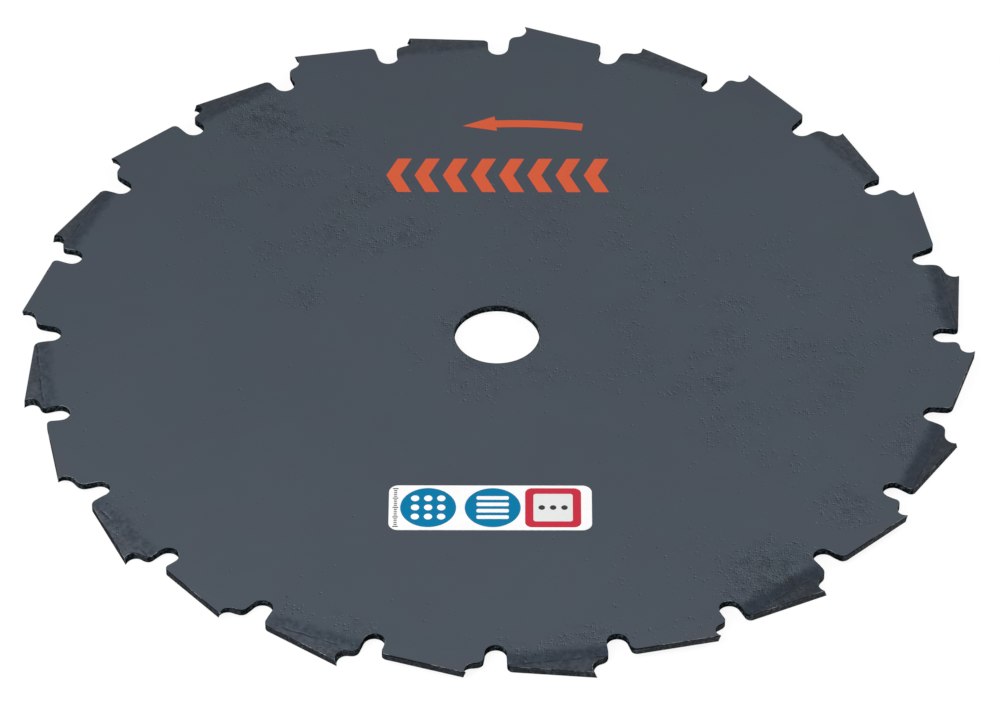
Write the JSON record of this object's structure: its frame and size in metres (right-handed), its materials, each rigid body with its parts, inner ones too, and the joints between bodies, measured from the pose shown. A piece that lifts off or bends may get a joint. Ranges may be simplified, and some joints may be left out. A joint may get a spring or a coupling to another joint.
{
  "type": "brush cutter blade",
  "caption": "Round steel blade with chisel teeth set alternately up and down, round-bottomed gullets and a plain centre bore.",
  "frame": {"origin": "centre of the bore, at mid thickness of the plate", "axes": "+Z along the bore axis, out of the printed face; +Y runs through the centre line of a gullet; seen from +Z the blade turns counter-clockwise"},
  "size_m": [0.2248, 0.2248, 0.0038],
  "materials": {
    "oxide_steel": "matt blue-grey oxide coating on hardened spring steel",
    "orange_print": "flat orange screen print",
    "label_film": "satin printed film label"
  },
  "bodies": {
    "root": {"blade": "oxide_steel"}
  },
  "joints": []
}
